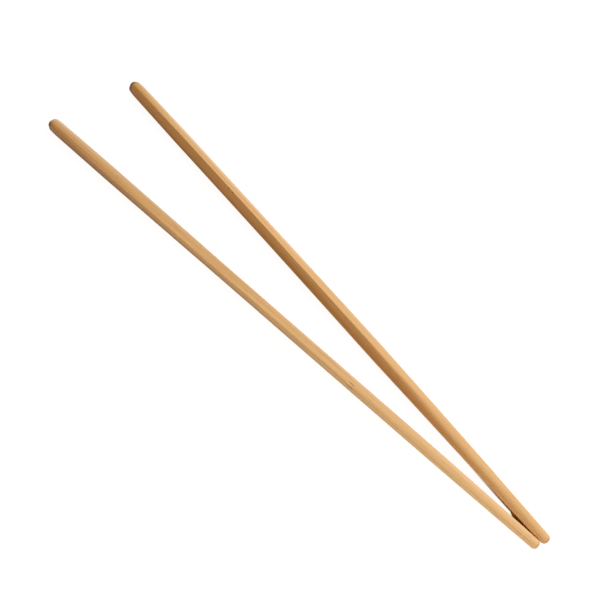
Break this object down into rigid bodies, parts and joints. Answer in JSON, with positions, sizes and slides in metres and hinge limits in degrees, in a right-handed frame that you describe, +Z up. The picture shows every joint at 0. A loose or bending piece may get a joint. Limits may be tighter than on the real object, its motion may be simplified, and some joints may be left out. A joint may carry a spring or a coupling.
{
  "type": "pair of wooden chopsticks",
  "caption": "Pair of slim bamboo-wood chopsticks lying in a narrow V with tips together: square handles that taper and turn round towards blunt rounded tips.",
  "frame": {"origin": "bottom centre of the pair's bounding box, on the surface that the pair lies on", "axes": "+X from the butts to the tips along the middle of the V, +Y from the front chopstick to the rear chopstick, +Z up"},
  "size_m": [0.2404, 0.0428, 0.0062],
  "materials": {
    "bamboo": "sanded, warm tan, low satin sheen"
  },
  "bodies": {
    "root": {"front_chopstick": "bamboo", "rear_chopstick": "bamboo"}
  },
  "joints": []
}
